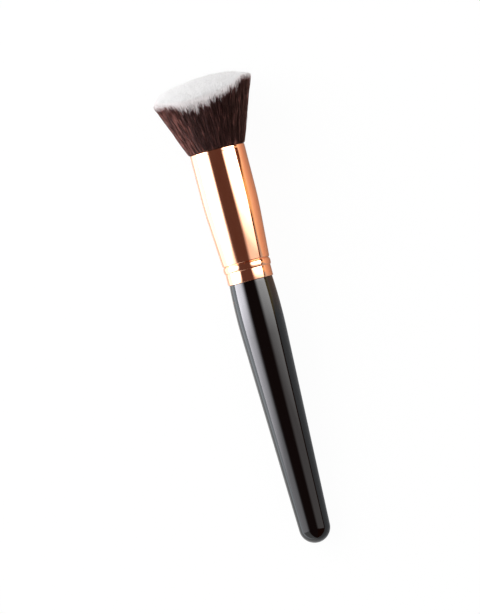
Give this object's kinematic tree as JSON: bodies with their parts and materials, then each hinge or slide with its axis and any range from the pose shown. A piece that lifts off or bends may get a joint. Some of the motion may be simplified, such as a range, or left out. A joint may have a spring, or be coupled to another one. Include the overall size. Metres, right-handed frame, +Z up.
{
  "type": "kabuki makeup brush",
  "caption": "Angled flat-top kabuki makeup brush: flared tuft of brown white-ended fibres, rose gold ferrule, black lacquered wood handle.",
  "frame": {"origin": "on the surface that the brush lies on, under the middle of its bounding box", "axes": "+Z up, +Y along the brush from its handle to its tuft, +X to the right seen from the handle's end; the axis of the brush rises about 5 degrees towards the tuft"},
  "size_m": [0.0344, 0.1668, 0.0332],
  "materials": {
    "black_lacquer": "turned wood under a gloss black lacquer",
    "rose_gold": "polished rose gold plating with faint drawing marks",
    "root_resin": "set epoxy, dull",
    "tenon_glue": "set glue, dull",
    "brown_fibre": "dark brown synthetic fibre with a soft sheen",
    "white_fibre": "white-ended synthetic fibre"
  },
  "bodies": {
    "root": {"handle": "black_lacquer", "ferrule": "rose_gold", "root_plug": "root_resin", "tenon_adhesive": "tenon_glue", "outer_fibres": "brown_fibre", "inner_fibres": "white_fibre"}
  },
  "joints": []
}
